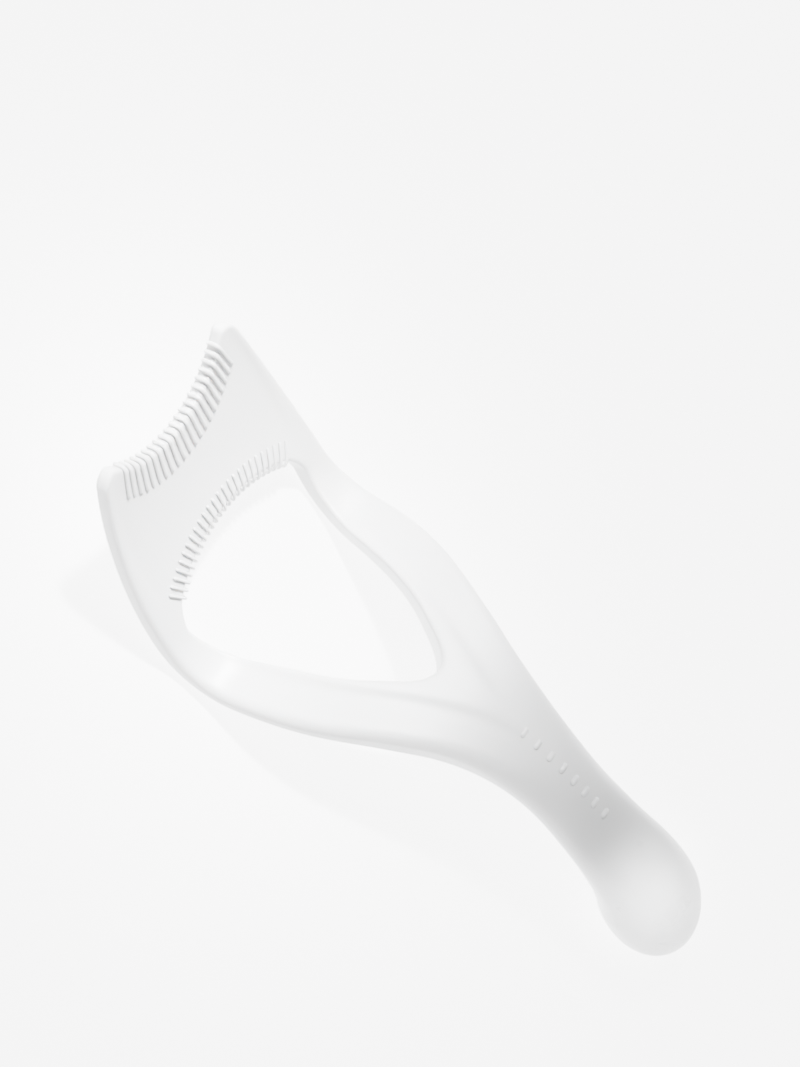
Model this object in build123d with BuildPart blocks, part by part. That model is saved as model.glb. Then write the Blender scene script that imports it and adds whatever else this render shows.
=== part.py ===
"""Moulded lash guard: a curved shield with a comb on both edges, on a forked handle that ends in a grip bulb.

The tool lies face up on a table. X runs from the shield to the grip bulb, Y is across and Z is up.
The fold, between shield and arms, and the grip bulb are what touch the table.
All lengths are in millimetres and all angles in degrees.
"""
import os
from math import asin, cos, degrees, radians, sin, sqrt

from build123d import *

# Side profile, followed from the horns of the shield to the grip bulb
shield_slope = 27.3          # how steeply the shield leaves the fold
shield_bow = 128.0           # radius of the shield's slight dish
fold_radius = 14.3
arm_slope = 39.7             # how steeply the arms leave the fold
arm_bow = 89.0
yoke_slope = 21.2            # what is left of the climb where the arms join
crest_radius = 50.0
neck_slope = 12.4            # how steeply the neck runs down to the grip bulb
grip_slope = 40.8            # how steeply the bulb's own axis points down

# Thickness of the moulding along that profile
horn_thickness = 2.8
shield_thickness = 3.2
fold_thickness = 4.0
arm_thickness = 4.8
yoke_thickness = 6.6
neck_start_thickness = 7.4
neck_thickness = 9.6         # at the neck's waist
neck_flare_thickness = 10.6  # half way from the waist to the grip bulb
shield_rounding = 1.0        # rounding of the long edges
arm_rounding = 1.6
waist_rounding = 4.4
flare_rounding = 5.0

# Widths, measured from the middle plane to one side
horn_half_width = 19.3
shield_half_width = 23.5     # half way up the shield
fold_half_width = 25.1
arm_half_width = 22.1        # half way along the arms
yoke_half_width = 15.6       # where the opening ends
neck_start_half_width = 12.2
neck_half_width = 7.9        # at the neck's waist
neck_flare_half_width = 8.2

# The two curved edges of the shield, both hollow
lid_edge_radius = 21.0       # outer edge, which lies along the eyelid
lid_edge_distance = 33.3     # from the fold's edge up the shield to the middle of that edge
horn_distance = 41.2         # from the fold's edge up the shield to the horn tips
horn_outer_radius = 2.4      # corner between a horn's tip and the side of the shield
horn_inner_radius = 0.5      # corner between a horn's tip and the outer edge
curl_edge_radius = 29.0      # inner edge, which faces the opening
curl_edge_distance = 10.6

# The opening between the arms
opening_half_width = 19.3
opening_mid_half_width = 13.4
opening_far_half_width = 8.0
opening_corner_radius = 3.0
opening_mid_reach = 17.6     # from the opening's end back along X to its half width half way
opening_far_reach = 7.0      # the same, to its half width near the end
yoke_depth = 8.7             # along X, from the opening's end to the start of the neck

# Grip bulb, egg-shaped
grip_radius = 9.5
grip_half_length = 16.9
grip_collar = 5.3            # from the bulb's middle back to where the neck meets it
collar_roundness = 0.98      # corner radius of the neck's last section, as a share of its half width

# Combs
rib_height = 0.6
lid_rib_width = 0.9
lid_rib_count = 21
lid_rib_pitch = 1.6
lid_rib_length = 6.6         # on the shield's face
lid_rib_reach = 0.8          # how far a rib stands out past the outer edge
lid_rib_fan = 0.32           # at 1 the ribs point away from the centre of the edge's curve, at 0 they are parallel
curl_rib_width = 0.5
curl_rib_count = 26
curl_rib_pitch = 1.4
curl_rib_length = 4.0
curl_rib_reach = 1.3         # the same, past the inner edge
curl_rib_fan = 1.0

# Row of raised dashes on the neck
dash_count = 10
dash_pitch = 3.0
dash_width = 2.3             # across the neck
dash_length = 1.5            # along the neck
dash_height = 0.35
dash_start = 2.6             # from the neck's start to the first dash

# Construction allowances, none of which leaves a mark on the finished part
slab_overrun = 1.0           # by which the middle line runs on past the horns
outline_overrun = 10.0       # by which an outline runs on past the fold before it is cut off
spare = 45.0                 # by which cutting blocks run past what they cut
same_plane = 0.001           # a face nearer than this to a plane lies in it

os.makedirs("parts", exist_ok=True)
pieces = {}                  # every finished piece, by name

# Where one region hands over to the next, as shares of a stretch of the side profile
yoke_start_fraction = 0.75   # of the arms' stretch
neck_start_fraction = 0.25   # of the crest's stretch

# The bulb rests on its side: how high its middle and its collar then are
grip_fall = sin(radians(grip_slope))
grip_run = cos(radians(grip_slope))
grip_height = sqrt((grip_half_length * grip_fall) ** 2 + (grip_radius * grip_run) ** 2)
collar_height = grip_height + grip_collar * grip_fall
collar_radius = grip_radius * sqrt(1 - (grip_collar / grip_half_length) ** 2)

# Middle line of the side profile, with the fold's lowest point at X = 0 and the table at Z = 0
shield_sweep = 2 * degrees(asin((horn_distance + slab_overrun) / (2 * shield_bow)))
horn_slope = shield_slope + shield_sweep
downhill = (cos(radians(horn_slope)), -sin(radians(horn_slope)))
fold_start_x = -fold_radius * sin(radians(shield_slope))
fold_start_z = fold_thickness / 2 + fold_radius * (1 - cos(radians(shield_slope)))
horn_x = fold_start_x - shield_bow * (sin(radians(horn_slope)) - sin(radians(shield_slope)))
horn_z = fold_start_z + shield_bow * (cos(radians(shield_slope)) - cos(radians(horn_slope)))

with BuildLine(Plane.XZ) as middle_line:
    shield_line = JernArc((horn_x, horn_z), downhill, shield_bow, shield_sweep)
    fold_line = JernArc(shield_line @ 1, shield_line % 1, fold_radius, shield_slope + arm_slope)
    arm_line = JernArc(fold_line @ 1, fold_line % 1, arm_bow, yoke_slope - arm_slope)
    crest_line = JernArc(arm_line @ 1, arm_line % 1, crest_radius, -yoke_slope - neck_slope)
    tail_length = ((crest_line @ 1).Z - collar_height) / sin(radians(neck_slope))
    tail_line = Line(crest_line @ 1, crest_line @ 1 + (crest_line % 1) * tail_length)


def across(line, fraction):
    """Plane square to the middle line at a fraction of one of its stretches, with X across the tool."""
    return Plane(origin=line @ fraction, x_dir=(0, 1, 0), z_dir=line % fraction)


# Where the moulding changes hands from one region to the next
shield_end = across(fold_line, 0)
yoke_start = across(arm_line, yoke_start_fraction)
neck_start = across(crest_line, neck_start_fraction)
opening_end = neck_start.origin.X - yoke_depth
grip_axis = Vector(grip_run, 0, -grip_fall)
grip_start = Plane(origin=tail_line @ 1, x_dir=(0, 1, 0), z_dir=grip_axis)
grip_centre = grip_start.origin + grip_axis * grip_collar

# Thickness along the flat part of the moulding
stations = [
    (shield_line, 0.0, horn_thickness),
    (shield_line, 0.5, shield_thickness),
    (fold_line, 0.0, fold_thickness),
    (fold_line, 0.25, fold_thickness),
    (fold_line, 0.5, fold_thickness),
    (fold_line, 0.75, fold_thickness),
    (fold_line, 1.0, fold_thickness),
    (arm_line, 0.5, arm_thickness),
    (arm_line, 1.0, yoke_thickness),
    (crest_line, neck_start_fraction, neck_start_thickness),
    (crest_line, 1.0, neck_thickness),
]


def surface_points(side, proud):
    """Points on the top (side = 1) or the underside (side = -1), raised by the given amount."""
    points = []
    for line, fraction, thickness in stations:
        point = line @ fraction + across(line, fraction).y_dir * side * (thickness / 2 + proud)
        points.append((point.X, point.Z))
    return points


def slab(proud):
    """The whole flat part as wide as the spare allows, with its top raised by the given amount."""
    with BuildPart() as block:
        with BuildSketch(Plane.XZ):
            with BuildLine():
                top = Spline(*surface_points(1, proud))
                underside = Spline(*surface_points(-1, 0))
                Line(top @ 0, underside @ 0)
                Line(top @ 1, underside @ 1)
            make_face()
        extrude(amount=fold_half_width + spare, both=True)
    return block.part


# Plane of the shield, from the fold's edge up to the horns, with X up the shield and Z out of its face
shield_chord = shield_line @ 0 - shield_line @ 1
shield_plane = Plane(origin=shield_line @ 1, x_dir=shield_chord, z_dir=shield_chord.cross(Vector(0, 1, 0)))
lid_edge_centre = lid_edge_distance + lid_edge_radius
curl_edge_centre = curl_edge_distance - curl_edge_radius


def lies_on(face, plane):
    """True where a face lies in a plane."""
    return face.geom_type == GeomType.PLANE and abs(plane.to_local_coords(face.center()).Z) < same_plane


def rim_edges(solid, cut_planes):
    """The long edges of a flat region: those round its top and underside, but not where it is cut off."""
    ends = [edge for face in solid.faces() for edge in face.edges()
            if any(lies_on(face, plane) for plane in cut_planes)]
    underside, top = solid.faces().sort_by(SortBy.AREA)[-2:]
    rim = underside.edges() + top.edges()
    return [edge for edge in rim if not any(edge.is_same(end) for end in ends)]


flat = slab(0)

# Outline of the shield, laid out up its own plane from the fold's edge to the horns
with BuildPart() as lash_shield:
    with BuildSketch(shield_plane):
        with BuildLine():
            left_side = Spline((-outline_overrun, fold_half_width), (0, fold_half_width),
                               (horn_distance / 2, shield_half_width), (horn_distance, horn_half_width))
            right_side = mirror(left_side, about=Plane.XZ)
            Line(left_side @ 0, right_side @ 0)
            Line(left_side @ 1, right_side @ 1)
        make_face()
        with Locations((lid_edge_centre, 0)):
            Circle(lid_edge_radius, mode=Mode.SUBTRACT)
        right_horn, right_inner, left_inner, left_horn = vertices().group_by(Axis.X)[-1].sort_by(Axis.Y)
        fillet([right_horn, left_horn], horn_outer_radius)
        fillet([right_inner, left_inner], horn_inner_radius)
        with BuildSketch(mode=Mode.PRIVATE) as curl_side:
            with Locations((curl_edge_centre, 0)):
                Circle(curl_edge_radius)
            Rectangle(2 * spare, 2 * opening_half_width, mode=Mode.INTERSECT)
            fillet(curl_side.vertices().group_by(Axis.X)[-1], opening_corner_radius)
        add(curl_side.sketch, mode=Mode.SUBTRACT)
    extrude(amount=spare, both=True)
    add(flat, mode=Mode.INTERSECT)
    split(bisect_by=shield_end, keep=Keep.BOTTOM)
    fillet(rim_edges(lash_shield, [shield_end]), shield_rounding)

# Outline of the arms and the yoke, seen from above
arm_mid_x = (arm_line @ 0.5).X
with BuildPart() as fork:
    with BuildSketch(Plane.XY):
        with BuildLine():
            left_side = Spline((fold_start_x - outline_overrun, fold_half_width), (fold_start_x, fold_half_width),
                               (arm_mid_x, arm_half_width), ((arm_line @ 1).X, yoke_half_width),
                               (neck_start.origin.X, neck_start_half_width))
            right_side = mirror(left_side, about=Plane.XZ)
            Line(left_side @ 0, right_side @ 0)
            Line(left_side @ 1, right_side @ 1)
        make_face()
        with BuildLine():
            left_wall = Spline((fold_start_x - outline_overrun, opening_half_width), (fold_start_x, opening_half_width),
                               (opening_end - opening_mid_reach, opening_mid_half_width),
                               (opening_end - opening_far_reach, opening_far_half_width),
                               (opening_end, 0), tangents=[(1, 0), (0, -1)])
            right_wall = mirror(left_wall, about=Plane.XZ)
            Line(left_wall @ 0, right_wall @ 0)
        make_face(mode=Mode.SUBTRACT)
    extrude(amount=spare, both=True)
    add(flat, mode=Mode.INTERSECT)
    split(bisect_by=shield_end, keep=Keep.TOP)
    split(bisect_by=neck_start, keep=Keep.BOTTOM)
    fillet(rim_edges(fork, [shield_end, neck_start]), arm_rounding)

with BuildPart() as fork_yoke:
    add(fork.part)
    split(bisect_by=yoke_start, keep=Keep.TOP)
pieces["fork_yoke"] = fork_yoke.part

with BuildPart() as arms:
    add(fork.part)
    split(bisect_by=yoke_start, keep=Keep.BOTTOM)
right_arm, left_arm = arms.solids().sort_by(Axis.Y)
pieces["right_arm"] = right_arm
pieces["left_arm"] = left_arm


def section(plane, width, height, corner):
    """A rounded rectangle square to the middle line, for the lofted neck."""
    with BuildSketch(plane) as outline:
        RectangleRounded(width, height, corner)
    return outline.sketch


# Neck, round at the bulb and flat like the yoke at its other end
def neck(proud):
    """The lofted neck, thicker and wider all round by the given amount."""
    with BuildPart() as body:
        add(section(neck_start, 2 * (neck_start_half_width + proud), neck_start_thickness + 2 * proud, arm_rounding))
        add(section(across(crest_line, 1), 2 * (neck_half_width + proud), neck_thickness + 2 * proud,
                    waist_rounding))
        add(section(across(tail_line, 0.5), 2 * (neck_flare_half_width + proud), neck_flare_thickness + 2 * proud,
                    flare_rounding))
        add(section(grip_start, 2 * (collar_radius + proud), 2 * (collar_radius + proud),
                    collar_radius * collar_roundness))
        loft()
    return body.part


with BuildPart() as handle_neck:
    add(neck(0))
pieces["handle_neck"] = handle_neck.part

# Row of raised dashes down the middle of the neck's top
neck_line = Wire([crest_line, tail_line])
first_dash = crest_line.length * neck_start_fraction + dash_start
with BuildPart() as raised_dashes:
    for number in range(dash_count):
        distance = first_dash + number * dash_pitch
        point = neck_line.position_at(distance, position_mode=PositionMode.LENGTH)
        heading = neck_line.tangent_at(distance, position_mode=PositionMode.LENGTH)
        with BuildSketch(Plane(origin=point, x_dir=heading, z_dir=heading.cross(Vector(0, 1, 0)))):
            Rectangle(dash_length, dash_width)
        extrude(amount=neck_thickness)
    add(neck(dash_height), mode=Mode.INTERSECT)
    add(handle_neck.part, mode=Mode.SUBTRACT)
pieces["raised_dashes"] = raised_dashes.part

# Grip bulb, turned about its own axis
grip_plane = Plane(origin=grip_centre, x_dir=grip_axis, z_dir=(0, -1, 0))
with BuildPart() as grip_bulb:
    with BuildSketch(grip_plane):
        Ellipse(grip_half_length, grip_radius)
        split(bisect_by=Plane.XZ)
    revolve(axis=Axis(grip_centre, grip_axis))
    split(bisect_by=grip_start)
pieces["grip_bulb"] = grip_bulb.part

# Combs: every rib wraps over its edge, from the face to the underside
rib_slab = slab(rib_height)


def comb(edge_centre, edge_radius, middle_angle, fan, reach, length, width, count, pitch):
    """All ribs of one hollow edge, in order across the tool."""
    slot_middle = (length - reach) / 2
    spots = []
    for number in range(count):
        turn = degrees(pitch / edge_radius) * (number - (count - 1) / 2)
        around = radians(middle_angle + turn)
        lean = radians(middle_angle + fan * turn)
        up = edge_centre + edge_radius * cos(around) + slot_middle * cos(lean)
        aside = edge_radius * sin(around) + slot_middle * sin(lean)
        spots.append(Location((up, aside, 0), (0, 0, degrees(lean))))
    with BuildPart() as ribs:
        with BuildSketch(shield_plane):
            with Locations(*spots):
                SlotOverall(length + reach, width)
        extrude(amount=spare, both=True)
        add(rib_slab, mode=Mode.INTERSECT)
        add(lash_shield.part, mode=Mode.SUBTRACT)
    return ribs.solids().sort_by(Axis.Y)


lid_ribs = comb(lid_edge_centre, lid_edge_radius, 180, lid_rib_fan, lid_rib_reach, lid_rib_length,
                lid_rib_width, lid_rib_count, lid_rib_pitch)
curl_ribs = comb(curl_edge_centre, curl_edge_radius, 0, curl_rib_fan, curl_rib_reach, curl_rib_length,
                 curl_rib_width, curl_rib_count, curl_rib_pitch)
for number, rib in enumerate(lid_ribs, start=1):
    pieces[f"lid_rib_{number:02}"] = rib
for number, rib in enumerate(curl_ribs, start=1):
    pieces[f"curl_rib_{number:02}"] = rib
pieces["lash_shield"] = lash_shield.part

# The origin sits on the table under the middle of the whole tool
extent = Compound(list(pieces.values())).bounding_box()
to_origin = Location((-extent.center().X, 0, -extent.min.Z))
for name, piece in pieces.items():
    placed = piece.moved(to_origin)
    placed.label = name
    export_step(placed, f"parts/{name}.step")
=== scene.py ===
from math import asin, cos, radians, sin, sqrt

import bpy
import numpy as np
from mathutils import Matrix, Vector


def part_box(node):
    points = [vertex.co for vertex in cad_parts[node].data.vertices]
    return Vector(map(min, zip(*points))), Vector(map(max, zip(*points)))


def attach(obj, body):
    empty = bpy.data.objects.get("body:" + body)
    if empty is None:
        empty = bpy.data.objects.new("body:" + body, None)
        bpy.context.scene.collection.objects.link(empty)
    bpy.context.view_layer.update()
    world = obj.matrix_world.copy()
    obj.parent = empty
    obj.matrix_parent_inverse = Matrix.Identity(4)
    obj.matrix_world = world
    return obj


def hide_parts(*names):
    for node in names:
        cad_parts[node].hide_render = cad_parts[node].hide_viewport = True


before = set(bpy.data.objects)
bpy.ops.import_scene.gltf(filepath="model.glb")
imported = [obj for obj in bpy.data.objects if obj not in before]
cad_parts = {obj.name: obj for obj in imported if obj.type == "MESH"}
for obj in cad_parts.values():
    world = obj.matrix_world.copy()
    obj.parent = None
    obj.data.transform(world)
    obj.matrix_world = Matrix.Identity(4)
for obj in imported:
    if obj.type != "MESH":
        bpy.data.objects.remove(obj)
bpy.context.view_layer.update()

# ---------------------------------------------------------------------------------------------
# The moulding. One shot of white polypropylene: shield, two arms, yoke, neck and grip bulb in a
# single skin with no joint lines. The arms run on up the sides of the shield as low rounded
# bars that fade into its rim, and the shield's face lies slightly below them.
# ---------------------------------------------------------------------------------------------

# Side profile in millimetres. The tool bends only along its length: every place on it is a
# distance along this middle line, a distance across, and a height out of the line
MM = 0.001
shield_slope, shield_bow = radians(27.3), 128.0
fold_radius, fold_thickness = 14.3, 4.0
arm_slope, arm_bow = radians(39.7), 89.0
yoke_slope, crest_radius = radians(21.2), 50.0
neck_slope, grip_slope = radians(12.4), radians(40.8)
horn_distance, line_overrun = 41.2, 1.0
grip_radius, grip_half_length, grip_collar = 9.5, 16.9, 5.3
turn_radius = 20.0          # of the smooth bend from the neck into the grip bulb

shield_turn = 2 * asin((horn_distance + line_overrun) / (2 * shield_bow))
fold_start = shield_bow * shield_turn
arm_start = fold_start + fold_radius * (shield_slope + arm_slope)
crest_start = arm_start + arm_bow * (arm_slope - yoke_slope)
tail_start = crest_start + crest_radius * (yoke_slope + neck_slope)

# The grip bulb rests on its side; the tail and the bend after it reach just to its middle
grip_height = sqrt((grip_half_length * sin(grip_slope)) ** 2 + (grip_radius * cos(grip_slope)) ** 2)
crest_height = (fold_thickness / 2 + fold_radius * (1 - cos(arm_slope))
                + arm_bow * (cos(yoke_slope) - cos(arm_slope))
                + crest_radius * (cos(neck_slope) - cos(yoke_slope)))
neck_way = np.array((cos(neck_slope), -sin(neck_slope)))
grip_way = np.array((cos(grip_slope), -sin(grip_slope)))
to_collar = (crest_height - grip_height - grip_collar * sin(grip_slope)) / sin(neck_slope)
to_bulb = to_collar * neck_way + grip_collar * grip_way
bend = turn_radius * np.array((sin(grip_slope) - sin(neck_slope), cos(grip_slope) - cos(neck_slope)))
straight, after = np.linalg.solve(np.column_stack((neck_way, grip_way)), to_bulb - bend)
turn_start = tail_start + straight
turn_end = turn_start + turn_radius * (grip_slope - neck_slope)
bulb_at = turn_end + after
tool_end = bulb_at + grip_half_length

# The line itself, walked in small steps, then set down on the floor under the CAD model
line_step = 0.05
line_end = tool_end + 3.0
line_at = np.arange(0.0, line_end, line_step)
line_heading = np.interp(line_at, (0, fold_start, arm_start, crest_start, tail_start, turn_start, turn_end),
                         (-shield_slope - shield_turn, -shield_slope, arm_slope, yoke_slope, -neck_slope,
                          -neck_slope, -grip_slope))
half_way = (line_heading[1:] + line_heading[:-1]) / 2
line_x = np.concatenate(((0.0,), np.cumsum(np.cos(half_way) * line_step)))
line_z = np.concatenate(((0.0,), np.cumsum(np.sin(half_way) * line_step)))
line_z += fold_thickness / 2 - line_z[line_at < crest_start].min()
bulb_reach = sqrt((grip_half_length * cos(grip_slope)) ** 2 + (grip_radius * sin(grip_slope)) ** 2)
line_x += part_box("grip_bulb")[1][0] / MM - bulb_reach - np.interp(bulb_at, line_at, line_x)
fold_x = line_x[line_z[line_at < crest_start].argmin()]


def place(at, across, proud):
    """Points in metres from distances along the middle line, across, and out of it, in millimetres."""
    heading = np.interp(at, line_at, line_heading)
    x = np.interp(at, line_at, line_x) - proud * np.sin(heading)
    z = np.interp(at, line_at, line_z) + proud * np.cos(heading)
    return np.stack((x, across + 0 * x, z), axis=-1) * MM


def cubic(t, start, end, leaving, arriving):
    """Smooth way from one value to another for t from 0 to 1, with the given rates at its two ends."""
    return ((2 * t ** 3 - 3 * t ** 2 + 1) * start + (t ** 3 - 2 * t ** 2 + t) * leaving
            + (3 * t ** 2 - 2 * t ** 3) * end + (t ** 3 - t ** 2) * arriving)


def curve(knots, samples=1500):
    """Smooth curve through (place, value) pairs, as two arrays."""
    at, value = np.array(knots, dtype=float).T
    slope = np.gradient(value, at)
    fine = np.linspace(at[0], at[-1], samples)
    i = np.clip(np.searchsorted(at, fine) - 1, 0, len(at) - 2)
    gap = at[i + 1] - at[i]
    return fine, cubic((fine - at[i]) / gap, value[i], value[i + 1], gap * slope[i], gap * slope[i + 1])


def up_shield(at):
    """Straight distance up the shield from the fold's edge, negative beyond the fold."""
    turned = (fold_start - at) / shield_bow
    chord = shield_bow * (np.sin(turned - shield_turn / 2) + sin(shield_turn / 2))
    return np.where(at < fold_start, chord, fold_start - at)


def along(chord):
    """Distance along the line of a point given by its straight distance up the shield."""
    turned = shield_turn / 2 + np.arcsin(chord / shield_bow - sin(shield_turn / 2))
    return fold_start - shield_bow * turned


# Places along the line where the width and the thickness are set
horn_at = float(along(horn_distance))
shield_at = float(along(horn_distance / 2))
arm_middle = arm_start + 0.5 * (crest_start - arm_start)
neck_start = crest_start + 0.25 * (tail_start - crest_start)
flare_at = tail_start + to_collar / 2
collar_at = bulb_at - grip_collar
collar_radius = grip_radius * sqrt(1 - (grip_collar / grip_half_length) ** 2)
bulb_knots = [(collar_at, collar_radius), (bulb_at, grip_radius), (line_end, grip_radius)]

# Half the width and half the thickness all along
half_width = curve([(0, 19.0), (horn_at, 19.3), (shield_at, 23.5), (fold_start, 25.1), (arm_middle, 22.1),
                    (crest_start, 15.6), (neck_start, 12.2), (tail_start, 7.9), (flare_at, 8.2)] + bulb_knots)
half_thick = curve([(0, 1.4), (shield_at, 1.6), (fold_start, 2.0), (arm_start, 2.0), (arm_middle, 2.4),
                    (crest_start, 3.3), (neck_start, 3.7), (tail_start, 4.8), (flare_at, 5.3)] + bulb_knots)

# Rounding of the outer edges, small on the thin shield and large on the neck
rounding = curve([(0, 0.6), (along(30.0), 0.75), (fold_start - 6, 1.1), (arm_start, 1.7), (arm_middle, 2.0),
                  (crest_start, 2.2), (neck_start, 2.6), (tail_start, 4.4), (line_end, 4.4)])
wall_rounding = 0.7         # of the edges round the opening

# Width of the bars up the sides of the shield, and how far its face lies below them
bar_width = curve([(0, 1.3), (along(26.0), 1.7), (along(12.0), 3.4), (fold_start, 6.0), (tool_end, 6.0)])
recess = curve([(0, 0.28), (along(26.0), 0.38), (along(14.0), 0.38), (along(5.0), 0.0), (tool_end, 0.0)])
bar_flank = 0.45            # how gently a bar runs out into the face

# The shield's two hollow edges and its corners
lid_edge_radius, lid_edge_distance = 21.0, 33.3
curl_edge_radius, curl_edge_distance = 29.0, 10.6
lid_centre, curl_centre = lid_edge_distance + lid_edge_radius, curl_edge_distance - curl_edge_radius
horn_outer_radius, horn_inner_radius, opening_corner_radius = 2.4, 0.5, 3.0

# Wall of the opening on one side, as a smooth line through a few places seen from above
opening_start, opening_overrun, opening_end = -6.6, 10.0, 32.1
opening_mid, opening_far = opening_end - 17.6, opening_end - 7.0
opening_half_width, opening_mid_half_width, opening_far_half_width = 19.3, 13.4, 8.0
wall_knots = np.array(((opening_start - opening_overrun, opening_half_width),
                       (opening_start, opening_half_width),
                       (opening_mid, opening_mid_half_width), (opening_far, opening_far_half_width),
                       (opening_end, 0.0), (opening_far, -opening_far_half_width)))
wall_steps = 36             # from one of these places to the next
wall = [wall_knots[0]]
for before, here, ahead, beyond in zip(wall_knots, wall_knots[1:], wall_knots[2:], wall_knots[3:]):
    gap = np.linalg.norm(ahead - here)
    leaving = (ahead - before) / np.linalg.norm(ahead - before) * gap
    arriving = (beyond - here) / np.linalg.norm(beyond - here) * gap
    for t in np.linspace(0, 1, wall_steps, endpoint=False):
        wall.append(cubic(t, here, ahead, leaving, arriving))
wall = np.array(wall + [(opening_end, 0.0)])
wall_at = np.interp(wall[:, 0] + fold_x, line_x, line_at)
wall_across = wall[:, 1]


def rounded(a, b, radius):
    """Where two distance fields overlap, with the corner between them rounded."""
    return (np.minimum(np.maximum(a, b), -radius)
            + np.hypot(np.maximum(a + radius, 0), np.maximum(b + radius, 0)))


def to_wall(at, across):
    """Distance to the opening's wall, negative inside the opening."""
    shape = np.broadcast(at, across).shape
    px, py = np.broadcast_to(at, shape).ravel(), np.broadcast_to(across, shape).ravel()
    far = np.full(px.shape, np.inf)
    for ax, ay, bx, by in zip(wall_at[:-1], wall_across[:-1], wall_at[1:], wall_across[1:]):
        run, rise = bx - ax, by - ay
        t = np.clip(((px - ax) * run + (py - ay) * rise) / (run * run + rise * rise), 0, 1)
        far = np.minimum(far, (px - ax - t * run) ** 2 + (py - ay - t * rise) ** 2)
    open_here = (py < np.interp(px, wall_at, wall_across)) & (px < wall_at[-1])
    return np.where(open_here, -np.sqrt(far), np.sqrt(far)).reshape(shape)


def outline_and_opening(at, across):
    """Distances to the outline and to the opening's edge, laid out flat, negative inside each shape."""
    chord = up_shield(at)
    width = np.interp(at, *half_width)
    lean = np.interp(at + 0.5, *half_width) - np.interp(at - 0.5, *half_width)
    outside = rounded((across - width) / np.sqrt(1 + lean ** 2), chord - horn_distance, horn_outer_radius)
    outside = rounded(outside, lid_edge_radius - np.hypot(chord - lid_centre, across), horn_inner_radius)
    curl_side = np.hypot(np.maximum(chord - curl_centre, 0), across) - curl_edge_radius
    return outside, rounded(to_wall(at, across), curl_side, opening_corner_radius)


def face_height(at, across):
    """Height of the flat part's top face, which lies a little lower between the bars along its sides."""
    from_bar = np.interp(at, *half_width) - across - np.interp(at, *bar_width)
    on_face = 1 / (1 + np.exp(-np.clip(from_bar / bar_flank, -30, 30)))
    return np.interp(at, *half_thick) - np.interp(at, *recess) * on_face


def ovalness(at):
    """How far the cross-section has turned from flat with rounded edges into an oval, from 0 to 1."""
    share = np.clip((at - neck_start) / (tail_start - neck_start), 0, 1)
    return share * share * (3 - 2 * share)


def skin(at, y, proud):
    """Distance to the skin, negative inside the plastic."""
    across = np.abs(y)
    width, thick = np.interp(at, *half_width), np.interp(at, *half_thick)
    slab = np.maximum(proud - face_height(at, across), -proud - thick)
    outside, opening = outline_and_opening(at, across)
    flat = rounded(rounded(outside, slab, np.interp(at, *rounding)), -opening, wall_rounding)
    oval = (np.sqrt((y / width) ** 2 + (proud / thick) ** 2) - 1) * thick
    bulb = (np.sqrt((np.maximum(at - bulb_at, 0) / grip_half_length) ** 2
                    + (y / grip_radius) ** 2 + (proud / grip_radius) ** 2) - 1) * grip_radius
    share = ovalness(at)
    return np.where(at > bulb_at, bulb, flat * (1 - share) + oval * share)


# The skin's distance at every corner of a grid laid along the tool
cell = 0.5
grid_width, grid_height = 54, 22
across_count, height_count = round(grid_width / cell), round(grid_height / cell)
grid_at = np.arange(0.0, tool_end + 2 * cell, cell)
grid_across = (np.arange(across_count) - (across_count - 1) / 2) * cell
grid_proud = (np.arange(height_count) - (height_count - 1) / 2) * cell
field = skin(grid_at[:, None, None], grid_across[None, :, None], grid_proud[None, None, :])
inside = field < 0
size = np.array(field.shape) - 1


def corner_of(values, corner):
    """The grid's values at one corner of every cell."""
    return values[tuple(slice(first, first + count) for first, count in zip(corner, size))]


# One vertex in every grid cell that the skin crosses, in the middle of the cuts through its edges
corners = [(i, j, k) for i in (0, 1) for j in (0, 1) for k in (0, 1)]
filled = sum(corner_of(inside, corner).astype(int) for corner in corners)
crossed = np.argwhere((filled > 0) & (filled < len(corners)))
number_of = np.full(size, -1)
number_of[tuple(crossed.T)] = np.arange(len(crossed))
total = np.zeros((len(crossed), 3))
hits = np.zeros(len(crossed))
for a in corners:
    for axis in range(3):
        if a[axis]:
            continue
        b = tuple(1 if k == axis else a[k] for k in range(3))
        value_a, value_b = (corner_of(field, corner)[tuple(crossed.T)] for corner in (a, b))
        cut = (value_a < 0) != (value_b < 0)
        t = np.where(cut, value_a / np.where(cut, value_a - value_b, 1), 0)
        total += np.where(cut[:, None], np.array(a) + t[:, None] * (np.array(b) - np.array(a)), 0)
        hits += cut
spot = (crossed + total / hits[:, None]) * cell + np.array((grid_at[0], grid_across[0], grid_proud[0]))

# Each vertex is pulled onto the skin
pull_rounds, longest_pull, least_steepness, nudge = 3, 0.4 * cell, 0.2, 0.02
for _ in range(pull_rounds):
    value = skin(*spot.T)
    slope = np.stack([(skin(*(spot + step).T) - skin(*(spot - step).T)) / (2 * nudge)
                      for step in nudge * np.eye(3)], axis=-1)
    move = -value[:, None] * slope / np.maximum((slope ** 2).sum(axis=1), least_steepness)[:, None]
    spot += np.clip(move, -longest_pull, longest_pull)

# One face across every grid edge that the skin cuts, turned so that it looks outwards
faces = []
for axis in range(3):
    one, two = (axis + 1) % 3, (axis + 2) % 3
    changed = inside != np.roll(inside, -1, axis=axis)
    changed[tuple(slice(-1, None) if k == axis else slice(None) for k in range(3))] = False
    where = np.argwhere(changed)
    ring = []
    for step_one, step_two in ((-1, -1), (0, -1), (0, 0), (-1, 0)):
        shifted = where.copy()
        shifted[:, one] += step_one
        shifted[:, two] += step_two
        ring.append(number_of[tuple(shifted.T)])
    quads = np.stack(ring, axis=1)
    outward = inside[tuple(where.T)]
    quads[~outward] = quads[~outward][:, ::-1]
    faces.append(quads)
faces = np.concatenate(faces)

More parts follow.
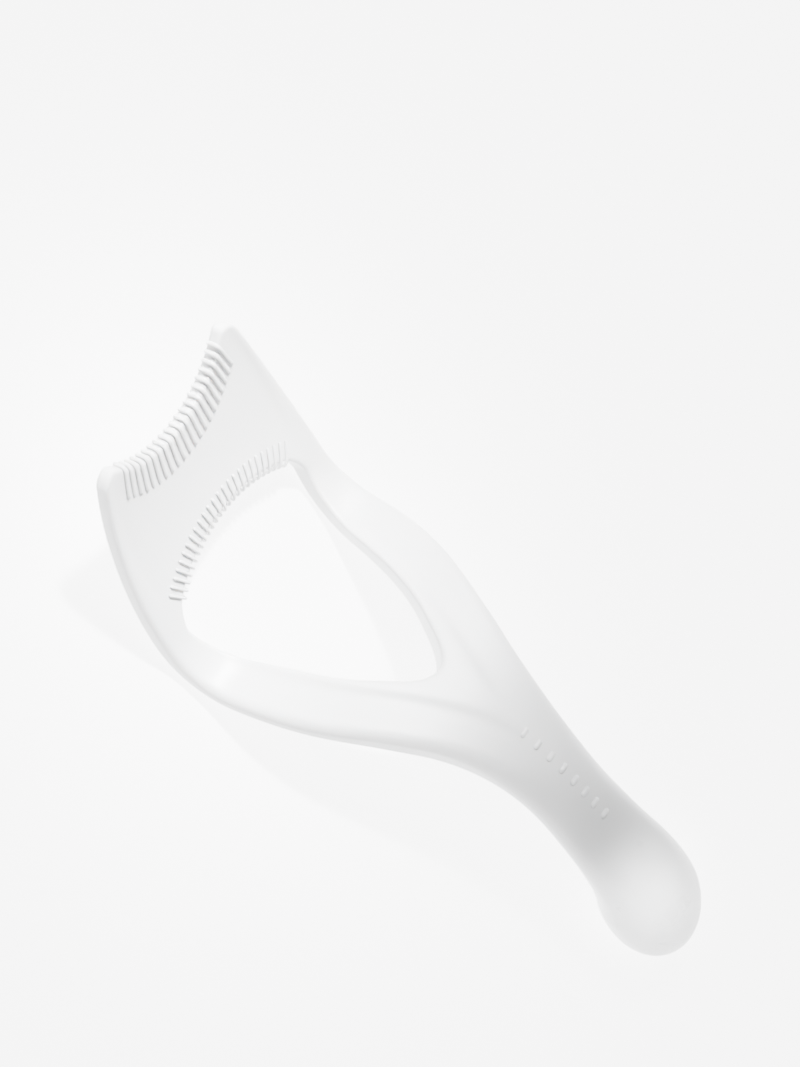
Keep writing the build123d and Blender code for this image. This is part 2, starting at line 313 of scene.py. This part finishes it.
moulding_mesh = bpy.data.meshes.new("moulding")
moulding_mesh.from_pydata(place(*spot.T).tolist(), [], faces.tolist())
moulding_mesh.update()
moulding_mesh.shade_smooth()
moulding = bpy.data.objects.new("moulding", moulding_mesh)
bpy.context.scene.collection.objects.link(moulding)
moulding_mesh.validate()


def feed(tree, socket, value):
    """Links an output into a socket, or sets the socket's own value."""
    if isinstance(value, bpy.types.NodeSocket):
        tree.links.new(value, socket)
    else:
        socket.default_value = value


def shader(tree, kind, **inputs):
    """A shader node with its constant values and links set."""
    node = tree.nodes.new(kind)
    for name, value in inputs.items():
        feed(tree, node.inputs[name.replace("_", " ")], value)
    return node


def calculation(tree, operation, *values):
    """The output of one calculation on the given values."""
    node = tree.nodes.new("ShaderNodeMath")
    node.operation = operation
    for socket, value in zip(node.inputs, values):
        feed(tree, socket, value)
    return node.outputs[0]


def ramp(tree, value, low, high, at_low, at_high):
    """A value that goes from at_low to at_high while the given one goes from low to high."""
    return shader(tree, "ShaderNodeMapRange", Value=value, From_Min=low, From_Max=high,
                  To_Min=at_low, To_Max=at_high).outputs["Result"]


def mixed(tree, factor, colour, other):
    """One colour turning into another by the given factor."""
    node = tree.nodes.new("ShaderNodeMix")
    node.data_type = "RGBA"
    feed(tree, node.inputs["Factor"], factor)
    feed(tree, node.inputs[6], colour)
    feed(tree, node.inputs[7], other)
    return node.outputs[2]


# White polypropylene, satin from a finely spark-eroded mould. The grain group gives the fine
# texture and broad sink waves, patches of more and less gloss, and the plastic's slight clouding
grain_group = bpy.data.node_groups.new("moulded_grain", "ShaderNodeTree")
grain_group.interface.new_socket("Position", in_out="INPUT", socket_type="NodeSocketVector")
for output in ("Height", "Sheen", "Cloud"):
    grain_group.interface.new_socket(output, in_out="OUTPUT", socket_type="NodeSocketFloat")
where_to = grain_group.nodes.new("NodeGroupInput").outputs["Position"]
fine = shader(grain_group, "ShaderNodeTexNoise", Vector=where_to, Scale=5200.0, Detail=3.0, Roughness=0.6)
sink = shader(grain_group, "ShaderNodeTexNoise", Vector=where_to, Scale=55.0, Detail=2.0, Roughness=0.4)
patch = shader(grain_group, "ShaderNodeTexNoise", Vector=where_to, Scale=160.0, Detail=4.0, Roughness=0.55)
cloud = shader(grain_group, "ShaderNodeTexNoise", Vector=where_to, Scale=28.0, Detail=3.0, Roughness=0.5)
sink_share = 1.6
height = calculation(grain_group, "MULTIPLY_ADD", sink.outputs["Fac"], sink_share, fine.outputs["Fac"])
grain_out = grain_group.nodes.new("NodeGroupOutput")
feed(grain_group, grain_out.inputs["Height"], height)
feed(grain_group, grain_out.inputs["Sheen"], patch.outputs["Fac"])
feed(grain_group, grain_out.inputs["Cloud"], cloud.outputs["Fac"])

plastic = bpy.data.materials.new("white_polypropylene")
plastic.use_nodes = True
tree = plastic.node_tree
tree.nodes.clear()
coordinates = tree.nodes.new("ShaderNodeTexCoord")
grain = tree.nodes.new("ShaderNodeGroup")
grain.node_tree = grain_group
tree.links.new(coordinates.outputs["Object"], grain.inputs["Position"])
from_middle = shader(tree, "ShaderNodeSeparateXYZ", Vector=coordinates.outputs["Object"]).outputs["X"]
facing_up = shader(tree, "ShaderNodeSeparateXYZ", Vector=coordinates.outputs["Normal"]).outputs["Z"]
sharpness = tree.nodes.new("ShaderNodeNewGeometry").outputs["Pointiness"]

# Slightly cloudy white, paler on the edges, with painted shade making it greyer towards the thick neck and
# grip and greyer on the steep walls
cool_white, warm_white, edge_white = (0.86, 0.865, 0.87, 1), (0.90, 0.90, 0.895, 1), (0.95, 0.95, 0.95, 1)
neck_shade_grey, wall_shade_grey = (0.66, 0.665, 0.67, 1), (0.32, 0.325, 0.33, 1)
clouded = ramp(tree, grain.outputs["Cloud"], 0.3, 0.7, 0.0, 1.0)
on_edge = ramp(tree, sharpness, 0.52, 0.60, 0.0, 0.35)
# Painted shade: the colour turns greyer along the length towards the neck and grip
painted_neck_shade = ramp(tree, from_middle, -0.005, 0.038, 0.0, 0.75)
# Painted shade: the colour turns darker grey where the surface turns away from straight up, on the walls and
# sides
painted_wall_shade = ramp(tree, calculation(tree, "ABSOLUTE", facing_up), 0.6, 0.0, 0.0, 0.4)
white = mixed(tree, clouded, cool_white, warm_white)
white = mixed(tree, on_edge, white, edge_white)
white = mixed(tree, painted_neck_shade, white, neck_shade_grey)
white = mixed(tree, painted_wall_shade, white, wall_shade_grey)

# Patchy satin, a little smoother on the handle, where fingers polish it
satin = ramp(tree, grain.outputs["Sheen"], 0.3, 0.7, 0.34, 0.46)
polish = ramp(tree, from_middle, 0.010, 0.050, 0.0, 0.09)
satin = calculation(tree, "SUBTRACT", satin, polish)
bump = shader(tree, "ShaderNodeBump", Height=grain.outputs["Height"], Strength=0.10, Distance=0.0001)
polypropylene = shader(tree, "ShaderNodeBsdfPrincipled", Base_Color=white, Roughness=satin,
                       Normal=bump.outputs["Normal"], IOR=1.49, Subsurface_Weight=0.25,
                       Subsurface_Radius=(1.0, 0.95, 0.9), Subsurface_Scale=0.0012)
surface = tree.nodes.new("ShaderNodeOutputMaterial")
tree.links.new(polypropylene.outputs["BSDF"], surface.inputs["Surface"])

moulding_mesh.materials.append(plastic)
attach(moulding, "root")
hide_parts("lash_shield", "left_arm", "right_arm", "fork_yoke", "handle_neck", "grip_bulb")


# ---------------------------------------------------------------------------------------------
# Raised bars: two combs and a row of dashes, of the same plastic and the same shot. They are cut
# into the mould as round-nosed grooves, so each bar is a half-round bead that swells out of the
# skin and rounds off at its ends. One node tree sweeps them all along lines laid on the skin.
# ---------------------------------------------------------------------------------------------
bars = bpy.data.node_groups.new("raised_bars", "GeometryNodeTree")
bars.interface.new_socket("Lines", in_out="INPUT", socket_type="NodeSocketGeometry")
bars.interface.new_socket("Bar Radius", in_out="INPUT", socket_type="NodeSocketFloat")
bars.interface.new_socket("Sides", in_out="INPUT", socket_type="NodeSocketInt")
bars.interface.new_socket("Material", in_out="INPUT", socket_type="NodeSocketMaterial")
bars.interface.new_socket("Bars", in_out="OUTPUT", socket_type="NodeSocketGeometry")
bars_in, bars_out = bars.nodes.new("NodeGroupInput"), bars.nodes.new("NodeGroupOutput")
to_curve = bars.nodes.new("GeometryNodeMeshToCurve")
girth = bars.nodes.new("GeometryNodeInputNamedAttribute")
girth.data_type = "FLOAT"
girth.inputs["Name"].default_value = "girth"
outline = bars.nodes.new("GeometryNodeCurvePrimitiveCircle")
sweep = bars.nodes.new("GeometryNodeCurveToMesh")
sweep.inputs["Fill Caps"].default_value = True
soft = bars.nodes.new("GeometryNodeSetShadeSmooth")
real = bars.nodes.new("GeometryNodeRealizeInstances")
dress = bars.nodes.new("GeometryNodeSetMaterial")
for output, socket in ((bars_in.outputs["Lines"], to_curve.inputs["Mesh"]),
                       (to_curve.outputs["Curve"], sweep.inputs["Curve"]),
                       (girth.outputs["Attribute"], sweep.inputs["Scale"]),
                       (bars_in.outputs["Sides"], outline.inputs["Resolution"]),
                       (bars_in.outputs["Bar Radius"], outline.inputs["Radius"]),
                       (outline.outputs["Curve"], sweep.inputs["Profile Curve"]),
                       (sweep.outputs["Mesh"], soft.inputs["Geometry"]),
                       (soft.outputs["Geometry"], real.inputs["Geometry"]),
                       (real.outputs["Geometry"], dress.inputs["Geometry"]),
                       (bars_in.outputs["Material"], dress.inputs["Material"]),
                       (dress.outputs["Geometry"], bars_out.inputs["Bars"])):
    bars.links.new(output, socket)


def raise_bars(name, lines, radius, sides):
    """One object of raised bars with rounded ends, each line given as (at, across, proud) rows."""
    points, joins, girths = [], [], []
    for line in lines:
        world = place(*np.array(line).T)
        steps = np.concatenate(((0,), np.cumsum(np.linalg.norm(np.diff(world, axis=0), axis=1)))) / MM
        left = np.minimum(steps, steps[-1] - steps) / radius
        first = len(points)
        points.extend(world.tolist())
        girths.extend(np.sqrt(np.clip(1 - (1 - np.clip(left, 0.02, 1)) ** 2, 0.03, 1)).tolist())
        joins.extend((first + i, first + i + 1) for i in range(len(line) - 1))
    mesh = bpy.data.meshes.new(name + "_lines")
    mesh.from_pydata(points, joins, [])
    mesh.attributes.new("girth", "FLOAT", "POINT").data.foreach_set("value", girths)
    laid = bpy.data.objects.new(name + "_lines", mesh)
    bpy.context.scene.collection.objects.link(laid)
    modifier = laid.modifiers.new("bars", "NODES")
    modifier.node_group = bars
    sockets = {item.name: item.identifier for item in bars.interface.items_tree if item.in_out == "INPUT"}
    modifier[sockets["Bar Radius"]] = radius * MM
    modifier[sockets["Sides"]] = sides
    modifier[sockets["Material"]] = plastic
    made = bpy.data.meshes.new_from_object(laid.evaluated_get(bpy.context.evaluated_depsgraph_get()))
    made.name = name
    bpy.data.objects.remove(laid)
    piece = bpy.data.objects.new(name, made)
    bpy.context.scene.collection.objects.link(piece)
    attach(piece, "root")
    return piece


sunk_share, sunk_radii = 0.12, 0.9      # first stretch of a rib, and how deep its end sinks there
back_radii, back_lean = 0.4, 0.12       # how far a rib's foot stays above the underside, and its slant


def comb(centre, edge_radius, toward, fan, length, reach, elbow, rise, radius, count, pitch):
    """Lines of ribs that wrap over a hollow edge, from the shield's face to the back of the edge."""
    lines = []
    for number in range(count):
        angle = (number - (count - 1) / 2) * pitch / edge_radius

        def spot_at(out, proud):
            """A place by its distance from the edge on to the face, along the rib's own direction."""
            chord = centre + toward * (edge_radius * cos(angle) + out * cos(fan * angle))
            return float(along(chord)), edge_radius * sin(angle) + out * sin(fan * angle), proud

        thick = float(np.interp(spot_at(0.0, 0.0)[0], *half_thick))
        line = []
        for share in (0.0, 0.02, 0.06, 0.12, 0.25, 0.4, 0.55, 0.7, 0.85, 1.0):
            at, across, _ = spot_at(length * (1 - share) + elbow * share, 0.0)
            sunk = radius * sunk_radii * max(0.0, 1 - share / sunk_share) ** 2
            line.append((at, across, float(face_height(at, abs(across))) + rise - sunk))
        tip = radius - reach
        top = line[-1][2]
        for turn in (15, 30, 45, 60, 75, 90):
            out = elbow + (tip - elbow) * sin(radians(turn))
            line.append(spot_at(out, top - elbow * (1 - cos(radians(turn)))))
        start, foot = line[-1][2], radius * back_radii - thick
        for share in (0.3, 0.6, 0.8, 0.9, 0.96, 1.0):
            line.append(spot_at(tip + back_lean * share, start + (foot - start) * share))
        lines.append(line)
    return lines


# Outer comb, which lies along the eyelid
lid_rib_count, lid_rib_radius = 21, 0.42
lid_lines = comb(lid_centre, lid_edge_radius, toward=-1, fan=0.32, length=6.6, reach=0.75, elbow=0.7,
                 rise=0.10, radius=lid_rib_radius, count=lid_rib_count, pitch=1.6)
lid_ribs = raise_bars("lid_ribs", lid_lines, lid_rib_radius, sides=14)
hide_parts(*["lid_rib_%02d" % number for number in range(1, lid_rib_count + 1)])

# Inner comb, finer, which faces the opening
curl_rib_count, curl_rib_radius = 26, 0.30
curl_lines = comb(curl_centre, curl_edge_radius, toward=1, fan=1.0, length=4.0, reach=1.2, elbow=0.9,
                  rise=0.20, radius=curl_rib_radius, count=curl_rib_count, pitch=1.4)
curl_ribs = raise_bars("curl_ribs", curl_lines, curl_rib_radius, sides=12)
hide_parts(*["curl_rib_%02d" % number for number in range(1, curl_rib_count + 1)])

# Row of dashes across the top of the neck, each with its middle line just under the skin
dash_count, dash_start, dash_pitch = 10, 2.6, 3.0
dash_radius, dash_reach, dash_depth = 0.6, 1.15, 0.12
dash_lines = []
for number in range(dash_count):
    at = neck_start + dash_start + dash_pitch * number
    offsets = np.array((-1.0, -0.95, -0.85, -0.65, -0.4, 0.0, 0.4, 0.65, 0.85, 0.95, 1.0)) * dash_reach
    width, thick = np.interp(at, *half_width), np.interp(at, *half_thick)
    tops = thick * (1 - ovalness(at) * (1 - np.sqrt(1 - (offsets / width) ** 2)))
    dash_lines.append([(at, offset, top - dash_depth) for offset, top in zip(offsets, tops)])
dashes = raise_bars("neck_dashes", dash_lines, dash_radius, sides=20)
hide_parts("raised_dashes")


# ---------------------------------------------------------------------------------------------
# Studio: a pale paper floor that glows evenly and an even surround. A broad soft light and a
# narrow one hang beyond the shield, and a third, very narrow, points at the grip.
# ---------------------------------------------------------------------------------------------
floor_reach = 3.0
floor_mesh = bpy.data.meshes.new("floor")
floor_mesh.from_pydata([(-floor_reach, -floor_reach, 0), (floor_reach, -floor_reach, 0),
                        (floor_reach, floor_reach, 0), (-floor_reach, floor_reach, 0)], [], [(0, 1, 2, 3)])
floor = bpy.data.objects.new("floor", floor_mesh)
bpy.context.scene.collection.objects.link(floor)
paper = bpy.data.materials.new("pale_paper")
paper.use_nodes = True
sheet = paper.node_tree
fibre = shader(sheet, "ShaderNodeTexNoise", Scale=900.0, Detail=4.0)
sheet.links.new(sheet.nodes.new("ShaderNodeTexCoord").outputs["Object"], fibre.inputs["Vector"])
weave = shader(sheet, "ShaderNodeBump", Height=fibre.outputs["Fac"], Strength=0.05, Distance=0.0002)
paper_face = sheet.nodes["Principled BSDF"].inputs
paper_face["Base Color"].default_value = (0.35, 0.35, 0.35, 1)
paper_face["Emission Color"].default_value = (1, 1, 1, 1)
paper_face["Emission Strength"].default_value = 7.0
paper_face["Roughness"].default_value = 0.85
sheet.links.new(weave.outputs["Normal"], paper_face["Normal"])
floor_mesh.materials.append(paper)

world = bpy.data.worlds.new("surround")
world.use_nodes = True
world.node_tree.nodes["Background"].inputs["Color"].default_value = (1, 1, 1, 1)
world.node_tree.nodes["Background"].inputs["Strength"].default_value = 0.2
bpy.context.scene.world = world


def soft_light(name, position, aim, size, spread, power):
    """A square soft light with a honeycomb that narrows its spread, facing the given place."""
    data = bpy.data.lights.new(name, "AREA")
    data.size = size
    data.energy = power
    data.spread = radians(spread)
    light = bpy.data.objects.new(name, data)
    light.location = position
    light.rotation_euler = (Vector(aim) - Vector(position)).to_track_quat("-Z", "Y").to_euler()
    bpy.context.scene.collection.objects.link(light)


over_shield, over_grip = (-0.38, 0.22, 0.72), (-0.09, -0.34, 0.72)
soft_light("top_light", over_shield, aim=(-0.045, 0, 0.015), size=0.20, spread=36, power=0.5)
soft_light("key_light", over_shield, aim=(-0.048, 0, 0.015), size=0.07, spread=9, power=0.22)
soft_light("grip_light", over_grip, aim=(0.060, 0, 0.015), size=0.012, spread=1.9, power=0.005)

# The camera looks down on the tool from beyond its right side, at a slant
camera_data = bpy.data.cameras.new("camera")
camera_data.sensor_fit = "VERTICAL"
camera_data.sensor_height = 36.0
camera_data.lens = 136.98
camera = bpy.data.objects.new("camera", camera_data)
right, up = Vector((0.7087, 0.5325, 0.4628)), Vector((-0.6580, 0.7355, 0.1616))
back = right.cross(up).normalized()
right = up.cross(back).normalized()
up = back.cross(right)
turned = Matrix((right, up, back)).transposed().to_4x4()
turned.translation = Vector((-172.7 + fold_x, -287.19, 649.8)) * MM
camera.matrix_world = turned
bpy.context.scene.collection.objects.link(camera)
bpy.context.scene.camera = camera
